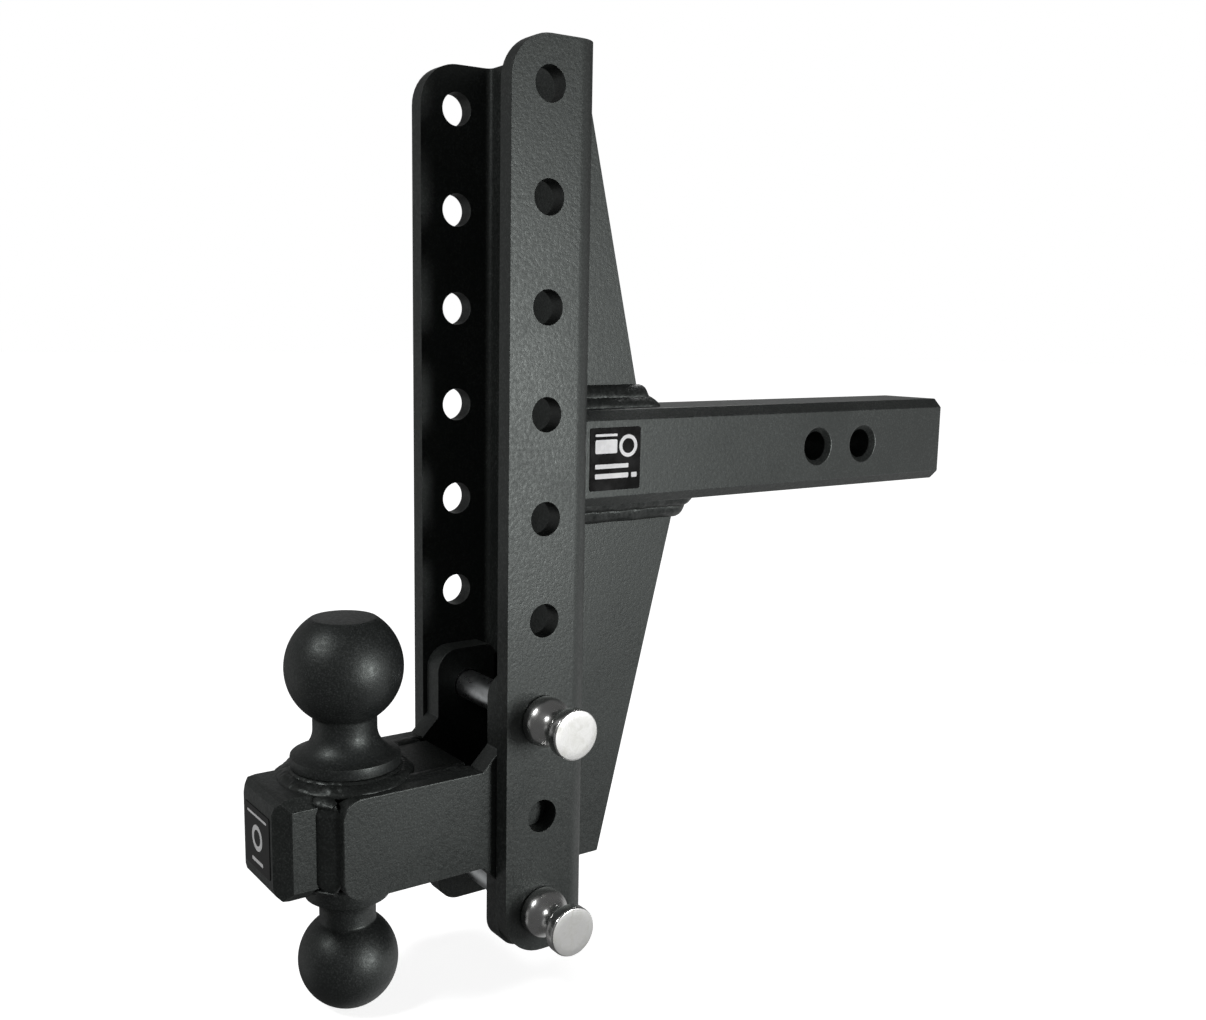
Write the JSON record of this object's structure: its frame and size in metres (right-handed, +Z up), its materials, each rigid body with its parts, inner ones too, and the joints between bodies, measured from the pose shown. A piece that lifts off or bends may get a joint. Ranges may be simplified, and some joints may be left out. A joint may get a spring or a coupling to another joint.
{
  "type": "trailer hitch with ball",
  "caption": "Adjustable drop hitch: a square receiver shank gusseted to a drilled channel, which carries a pinned ball mount with a large ball above and a smaller ball below.",
  "frame": {"origin": "on the axis of the front hitch-pin hole, at the centre of the shank's cross-section", "axes": "X along the hitch pins, positive toward the pins' heads; Y along the shank, positive toward the vehicle; Z up, positive toward the end with the large ball's flat top"},
  "size_m": [0.139, 0.4502, 0.4765],
  "materials": {
    "powder_coat": "fine-textured black powder coat over steel",
    "coated_weld": "black powder coat over weld bead",
    "ball_coat": "smooth satin black coat over steel",
    "label_film": "printed satin film",
    "plated_pin": "bright plated steel with a satin end face",
    "clip_wire": "zinc-plated spring wire"
  },
  "bodies": {
    "hitch": {"channel": "powder_coat", "shank": "powder_coat", "gusset_upper": "powder_coat", "gusset_lower": "powder_coat", "weld_shank": "coated_weld", "weld_gusset_upper": "coated_weld", "weld_gusset_lower": "coated_weld", "label_shank": "label_film", "cheek_near": "powder_coat", "cheek_far": "powder_coat", "centre_bar": "powder_coat", "label_nose": "label_film", "weld_cheek_near": "coated_weld", "weld_cheek_far": "coated_weld", "ball_upper": "ball_coat", "ball_lower": "ball_coat", "weld_ball_upper": "coated_weld", "weld_ball_lower": "coated_weld"},
    "upper_pin": {"pin_upper": "plated_pin"},
    "lower_pin": {"pin_lower": "plated_pin"},
    "upper_clip": {"clip_upper": "clip_wire"},
    "lower_clip": {"clip_lower": "clip_wire"}
  },
  "joints": [
    {"name": "upper_pin_turn", "type": "hinge", "parent": "hitch", "child": "upper_pin", "pos_m": [0, -0.2087, -0.1262], "axis": [1, 0, 0], "continuous": true},
    {"name": "lower_pin_turn", "type": "hinge", "parent": "hitch", "child": "lower_pin", "pos_m": [0, -0.2087, -0.2278], "axis": [1, 0, 0], "continuous": true},
    {"name": "upper_clip_pull", "type": "slide", "parent": "upper_pin", "child": "upper_clip", "axis": [0, 0, 1], "range_m": [0, 0.036]},
    {"name": "lower_clip_pull", "type": "slide", "parent": "lower_pin", "child": "lower_clip", "axis": [0, 0, 1], "range_m": [0, 0.036]}
  ]
}
